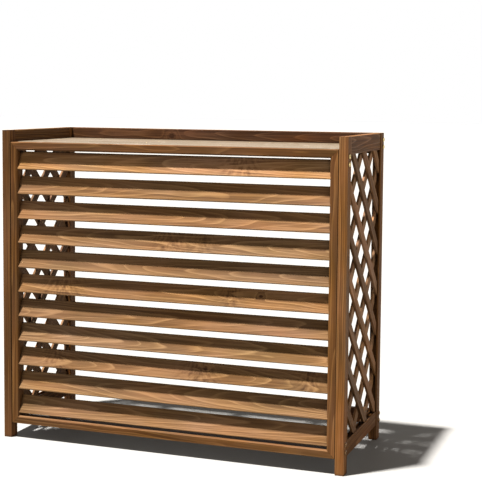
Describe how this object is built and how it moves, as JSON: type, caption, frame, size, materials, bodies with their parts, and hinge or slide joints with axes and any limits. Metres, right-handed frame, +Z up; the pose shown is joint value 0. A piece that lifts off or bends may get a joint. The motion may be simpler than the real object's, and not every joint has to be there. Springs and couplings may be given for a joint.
{
  "type": "air conditioner screen",
  "caption": "Wooden louvred and lattice screen that stands round an outdoor air conditioner, with a slatted plant shelf on top.",
  "frame": {"origin": "on the ground, at the middle of the screen's width and depth", "axes": "+X to the right seen from the front, +Y from the louvre front to the open back, +Z up"},
  "size_m": [1.0372, 0.4, 0.9],
  "materials": {
    "post_timber": "brown stain, satin",
    "rail_timber": "brown stain, satin",
    "lattice_timber": "brown stain, matt",
    "panel_timber": "brown stain, satin",
    "louvre_timber": "brown stain, satin",
    "shelf_timber": "brown stain, satin",
    "strip_timber": "brown stain, matt",
    "screw_metal": "yellow zinc plating"
  },
  "bodies": {
    "root": {"back_bottom_rail": "rail_timber", "back_ledger": "strip_timber", "back_ledger_screw_left": "screw_metal", "back_ledger_screw_middle": "screw_metal", "back_ledger_screw_right": "screw_metal", "back_top_rail": "rail_timber", "front_ledger": "strip_timber", "front_ledger_screw_left": "screw_metal", "front_ledger_screw_middle": "screw_metal", "front_ledger_screw_right": "screw_metal", "left_back_bottom_screw_lower": "screw_metal", "left_back_bottom_screw_upper": "screw_metal", "left_back_post": "post_timber", "left_back_top_screw_lower": "screw_metal", "left_back_top_screw_upper": "screw_metal", "left_bottom_rail": "rail_timber", "left_front_bottom_screw_lower": "screw_metal", "left_front_bottom_screw_upper": "screw_metal", "left_front_post": "post_timber", "left_front_top_screw_lower": "screw_metal", "left_front_top_screw_upper": "screw_metal", "left_lattice": "lattice_timber", "left_top_rail": "rail_timber", "louvre_slat_01": "louvre_timber", "louvre_slat_02": "louvre_timber", "louvre_slat_03": "louvre_timber", "louvre_slat_04": "louvre_timber", "louvre_slat_05": "louvre_timber", "louvre_slat_06": "louvre_timber", "louvre_slat_07": "louvre_timber", "louvre_slat_08": "louvre_timber", "louvre_slat_09": "louvre_timber", "louvre_slat_10": "louvre_timber", "louvre_slat_11": "louvre_timber", "panel_bottom_rail": "panel_timber", "panel_left_stile": "panel_timber", "panel_right_stile": "panel_timber", "panel_top_rail": "panel_timber", "right_back_bottom_screw_lower": "screw_metal", "right_back_bottom_screw_upper": "screw_metal", "right_back_post": "post_timber", "right_back_top_screw_lower": "screw_metal", "right_back_top_screw_upper": "screw_metal", "right_bottom_rail": "rail_timber", "right_front_bottom_screw_lower": "screw_metal", "right_front_bottom_screw_upper": "screw_metal", "right_front_post": "post_timber", "right_front_top_screw_lower": "screw_metal", "right_front_top_screw_upper": "screw_metal", "right_lattice": "lattice_timber", "right_top_rail": "rail_timber", "shelf_batten_1": "strip_timber", "shelf_batten_2": "strip_timber", "shelf_batten_3": "strip_timber", "shelf_batten_4": "strip_timber", "shelf_plank_1": "shelf_timber", "shelf_plank_2": "shelf_timber", "shelf_plank_3": "shelf_timber", "shelf_plank_4": "shelf_timber"}
  },
  "joints": []
}
